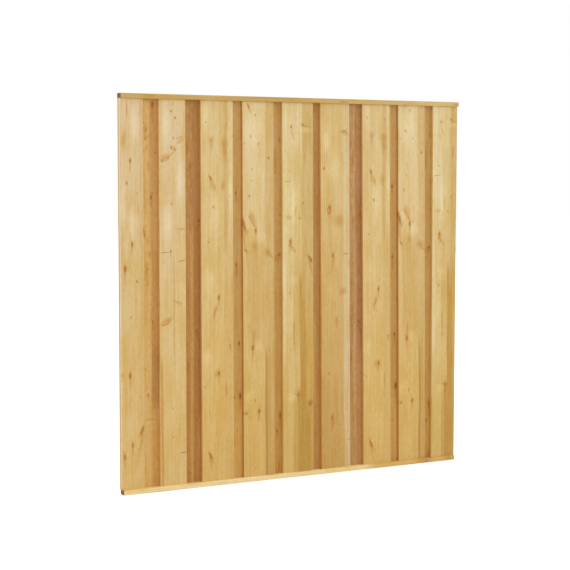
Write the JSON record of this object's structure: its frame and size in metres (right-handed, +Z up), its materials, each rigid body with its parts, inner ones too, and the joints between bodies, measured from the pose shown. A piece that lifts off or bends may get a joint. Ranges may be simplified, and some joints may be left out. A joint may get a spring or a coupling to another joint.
{
  "type": "closeboard fence panel",
  "caption": "Square closeboard fence panel of planed softwood: two lapped layers of upright boards between a top and a bottom rail, with battens across the back.",
  "frame": {"origin": "middle of the bottom rail's underside", "axes": "+X along the panel to the right as seen from its face, -Y the way the face looks, +Z up"},
  "size_m": [1.8, 0.064, 1.8],
  "materials": {
    "front_board": "planed, honey-coloured softwood with knots",
    "back_board": "planed, darker tan softwood",
    "edge_strip": "planed, tan softwood",
    "top_rail": "planed, golden tan softwood with dark end grain",
    "bottom_rail": "planed, pale softwood with dark end grain",
    "batten": "planed softwood",
    "nail": "dull stainless wire"
  },
  "bodies": {
    "root": {"front_board_1": "front_board", "front_board_2": "front_board", "front_board_3": "front_board", "front_board_4": "front_board", "front_board_5": "front_board", "front_board_6": "front_board", "front_board_7": "front_board", "front_board_8": "front_board", "front_board_9": "front_board", "back_board_1": "back_board", "back_board_2": "back_board", "back_board_3": "back_board", "back_board_4": "back_board", "back_board_5": "back_board", "back_board_6": "back_board", "back_board_7": "back_board", "back_board_8": "back_board", "left_edge_strip": "edge_strip", "right_edge_strip": "edge_strip", "top_rail": "top_rail", "bottom_rail": "bottom_rail", "lower_batten": "batten", "middle_batten": "batten", "upper_batten": "batten", "top_rail_nails": "nail", "bottom_rail_nails": "nail", "lower_batten_nails": "nail", "middle_batten_nails": "nail", "upper_batten_nails": "nail"}
  },
  "joints": []
}
